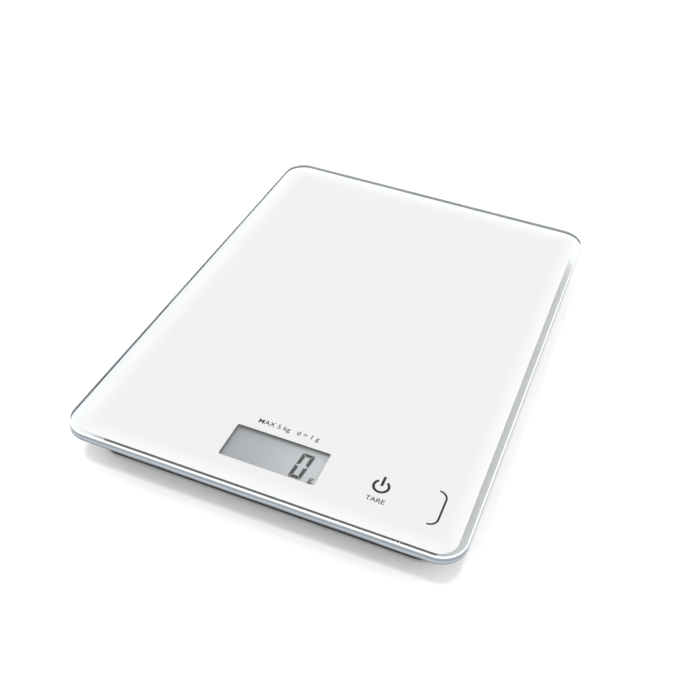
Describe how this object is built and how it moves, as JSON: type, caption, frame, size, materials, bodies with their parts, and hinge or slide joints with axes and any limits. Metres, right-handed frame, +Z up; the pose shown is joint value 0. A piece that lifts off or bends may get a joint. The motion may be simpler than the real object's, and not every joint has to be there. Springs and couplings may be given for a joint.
{
  "type": "kitchen scale",
  "caption": "Flat rectangular glass kitchen scale with a white printed platform, a recessed display, a touch key and a thin black base on rubber feet.",
  "frame": {"origin": "middle of the footprint on the table, below the centre of the glass", "axes": "+Z up, +X to the right along the short side, +Y away from the front edge with the display"},
  "size_m": [0.163, 0.2256, 0.018],
  "materials": {
    "clear_glass": "polished float glass, ground and polished edge",
    "white_print": "white enamel printed on the back of the glass",
    "black_ink": "black enamel ink",
    "white_tape": "double-sided adhesive tape",
    "black_plastic": "fine spark-eroded texture on black ABS",
    "white_plastic": "moulded white plastic",
    "lcd_glass": "liquid crystal display glass with a satin polariser",
    "lcd_ink": "dark switched segments",
    "reflector": "grey reflective film",
    "silicone": "silicone rubber",
    "circuit_board": "green solder mask with copper tracks",
    "epoxy": "black epoxy drop",
    "components": "surface mounted parts with tinned ends",
    "screw_steel": "zinc plated steel",
    "spring_steel": "tinned spring wire",
    "copper": "copper foil",
    "plate_steel": "galvanised sheet steel",
    "cell_aluminium": "machined aluminium",
    "gauge_foil": "polyimide backed foil gauge",
    "foot_rubber": "soft rubber",
    "label_film": "blank silver label film",
    "coin_steel": "stainless steel can",
    "contact_metal": "nickel plated phosphor bronze",
    "foam": "black foam",
    "button_plastic": "dark moulded plastic",
    "switch_plastic": "black moulded plastic",
    "red_wire": "PVC insulation",
    "black_wire": "PVC insulation",
    "white_wire": "PVC insulation"
  },
  "bodies": {
    "base": {"load_cell": "cell_aluminium", "strain_gauges": "gauge_foil", "gauge_sealant": "silicone", "base_cell_screws": "screw_steel", "overload_stop": "screw_steel", "base_shell": "black_plastic", "rubber_feet": "foot_rubber", "foot_adhesive": "white_tape", "rating_label": "label_film", "coin_cell": "coin_steel", "positive_contact": "contact_metal", "negative_contact": "contact_metal", "unit_switch": "switch_plastic", "switch_board": "circuit_board", "switch_board_screws": "screw_steel", "cell_wires": "red_wire", "battery_leads": "black_wire", "unit_wires": "white_wire"},
    "platform": {"glass_plate": "clear_glass", "back_print": "white_print", "symbol_print": "black_ink", "adhesive_tape": "white_tape", "carrier": "black_plastic", "lcd_front_glass": "lcd_glass", "lcd_rear_glass": "lcd_glass", "lcd_segments": "lcd_ink", "lcd_reflector": "reflector", "lcd_frame": "white_plastic", "zebra_strip": "silicone", "main_board": "circuit_board", "controller_chip": "epoxy", "board_components": "components", "board_screws": "screw_steel", "touch_electrode": "copper", "touch_spring": "spring_steel", "load_plate": "plate_steel", "load_plate_screws": "screw_steel", "platform_cell_screws": "screw_steel"},
    "battery_door": {"battery_door": "black_plastic", "door_pad": "foam"},
    "unit_button": {"unit_button": "button_plastic", "switch_plunger": "white_plastic"}
  },
  "joints": [
    {"name": "platform_travel", "type": "slide", "parent": "base", "child": "platform", "axis": [0, 0, 1], "range_m": [-0.0005, 0], "stiffness_N_per_m": 60000, "springref_m": 0.00025, "deforming": ["load_cell", "strain_gauges", "gauge_sealant", "cell_wires", "battery_leads", "unit_wires"]},
    {"name": "battery_door_hinge", "type": "hinge", "parent": "base", "child": "battery_door", "pos_m": [-0.043, -0.02183, 0.0022], "axis": [1, 0, 0], "range_deg": [0, 90]},
    {"name": "unit_button_press", "type": "slide", "parent": "base", "child": "unit_button", "axis": [0, 0, 1], "range_m": [0, 0.0003], "stiffness_N_per_m": 2000, "springref_m": -0.0002}
  ]
}
